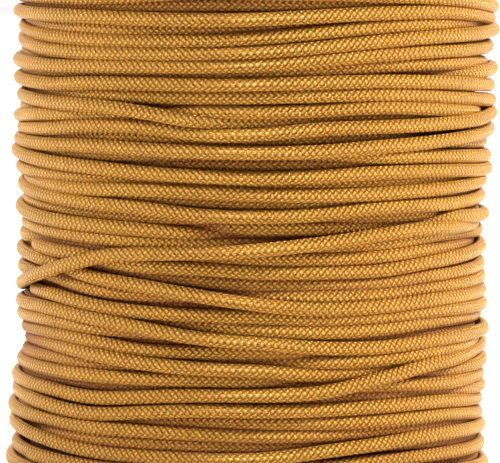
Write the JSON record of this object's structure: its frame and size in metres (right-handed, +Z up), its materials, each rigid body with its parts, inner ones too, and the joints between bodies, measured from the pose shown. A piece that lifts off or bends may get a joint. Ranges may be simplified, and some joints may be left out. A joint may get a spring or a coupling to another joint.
{
  "type": "wound package of braided cord",
  "caption": "Round, slightly waisted winding of thin braided nylon cord, laid turn on turn with loose crossings round an open straight bore.",
  "frame": {"origin": "centre of the flat lower end of the winding, on its axis", "axes": "+Z up along the axis of the winding, -Y towards the side with the long crossing turn, +X to the right seen from there"},
  "size_m": [0.0662, 0.0663, 0.069],
  "materials": {
    "braided_nylon": "satin gold nylon braid with dark brown gaps between the turns"
  },
  "bodies": {
    "root": {"cord_winding": "braided_nylon"}
  },
  "joints": []
}
